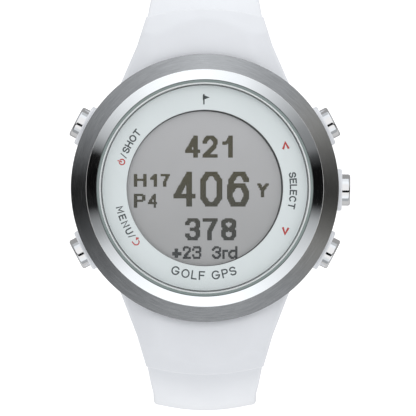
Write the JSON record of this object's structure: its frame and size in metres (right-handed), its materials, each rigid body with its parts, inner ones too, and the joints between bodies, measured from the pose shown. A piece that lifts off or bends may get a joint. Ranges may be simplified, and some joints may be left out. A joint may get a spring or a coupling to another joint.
{
  "type": "golf gps watch",
  "caption": "Round wrist-worn golf rangefinder with a steel bezel, grey digital display, side push buttons and an open white resin strap with a pin buckle.",
  "frame": {"origin": "centre of the case back's flat outer face, which lies against the wrist", "axes": "+Z out through the dial, +Y towards 12 o'clock, +X towards 3 o'clock"},
  "size_m": [0.0483, 0.0772, 0.0632],
  "materials": {
    "white_resin": "glossy white moulded resin",
    "brushed_bezel": "circumferentially brushed steel",
    "polished_steel": "polished stainless steel",
    "satin_steel": "satin stainless steel",
    "grey_seal": "grey-green silicone",
    "black_seal": "black nitrile",
    "mineral_glass": "clear flat mineral glass",
    "dial_white": "pale matt dial with printing",
    "lcd": "reflective grey liquid crystal display",
    "frame_white": "moulded white frame",
    "circuit_board": "green solder mask",
    "antenna_ceramic": "fired ceramic",
    "battery_foil": "silver laminated pouch",
    "black_plastic": "black moulded plastic",
    "gold_contact": "gold-plated brass",
    "spring_steel": "spring steel wire"
  },
  "bodies": {
    "case": {"mid_case": "white_resin", "bezel_ring": "brushed_bezel", "bezel_gasket": "grey_seal", "crystal": "mineral_glass", "dial_ring": "dial_white", "lcd_module": "lcd", "lcd_frame": "frame_white", "main_board": "circuit_board", "gps_antenna": "antenna_ceramic", "board_screws": "satin_steel", "battery": "battery_foil", "vibration_motor": "satin_steel", "case_back": "satin_steel", "case_back_gasket": "black_seal", "case_back_screws": "satin_steel", "charge_contact_block": "black_plastic", "charge_contacts": "gold_contact", "button_sleeves": "satin_steel", "button_seals": "black_seal", "tactile_switches": "black_plastic", "spring_bar_12": "satin_steel", "spring_bar_6": "satin_steel", "button_spring_power": "spring_steel", "button_spring_menu": "spring_steel", "button_spring_up": "spring_steel", "button_spring_select": "spring_steel", "button_spring_down": "spring_steel"},
    "strap_upper": {"strap_upper": "white_resin", "fixed_keeper": "white_resin"},
    "strap_lower": {"strap_lower": "white_resin"},
    "free_keeper": {"free_keeper": "white_resin"},
    "buckle": {"buckle_frame": "satin_steel", "buckle_pin": "polished_steel"},
    "tongue": {"buckle_tongue": "satin_steel"},
    "button_power": {"button_power": "polished_steel", "button_clip_power": "spring_steel"},
    "button_menu": {"button_menu": "polished_steel", "button_clip_menu": "spring_steel"},
    "button_up": {"button_up": "polished_steel", "button_clip_up": "spring_steel"},
    "button_select": {"button_select": "polished_steel", "button_clip_select": "spring_steel"},
    "button_down": {"button_down": "polished_steel", "button_clip_down": "spring_steel"}
  },
  "joints": [
    {"name": "press_power", "type": "slide", "parent": "case", "child": "button_power", "axis": [0.887, -0.4617, 0], "range_m": [0, 0.0008], "stiffness_N_per_m": 400, "springref_m": -0.003, "deforming": ["button_spring_power"]},
    {"name": "press_menu", "type": "slide", "parent": "case", "child": "button_menu", "axis": [0.887, 0.4617, 0], "range_m": [0, 0.0008], "stiffness_N_per_m": 400, "springref_m": -0.003, "deforming": ["button_spring_menu"]},
    {"name": "press_up", "type": "slide", "parent": "case", "child": "button_up", "axis": [-0.887, -0.4617, 0], "range_m": [0, 0.0008], "stiffness_N_per_m": 400, "springref_m": -0.003, "deforming": ["button_spring_up"]},
    {"name": "press_select", "type": "slide", "parent": "case", "child": "button_select", "axis": [-0.9999, 0.014, 0], "range_m": [0, 0.0008], "stiffness_N_per_m": 400, "springref_m": -0.003, "deforming": ["button_spring_select"]},
    {"name": "press_down", "type": "slide", "parent": "case", "child": "button_down", "axis": [-0.887, 0.4617, 0], "range_m": [0, 0.0008], "stiffness_N_per_m": 400, "springref_m": -0.003, "deforming": ["button_spring_down"]},
    {"name": "upper_strap_swing", "type": "hinge", "parent": "case", "child": "strap_upper", "pos_m": [0, 0.024, 0.008], "axis": [-1, 0, 0], "range_deg": [-12, 12]},
    {"name": "lower_strap_swing", "type": "hinge", "parent": "case", "child": "strap_lower", "pos_m": [0, -0.024, 0.008], "axis": [-1, 0, 0], "range_deg": [0, 12]},
    {"name": "keeper_slide", "type": "slide", "parent": "strap_upper", "child": "free_keeper", "axis": [0, 1, 0], "range_m": [0, 0.004]},
    {"name": "buckle_swing", "type": "hinge", "parent": "strap_upper", "child": "buckle", "pos_m": [0, -0.0025, -0.02797], "axis": [-1, 0, 0], "range_deg": [-35, 120]},
    {"name": "tongue_swing", "type": "hinge", "parent": "buckle", "child": "tongue", "pos_m": [0, -0.0025, -0.02797], "axis": [1, 0, 0], "range_deg": [0, 38]}
  ]
}
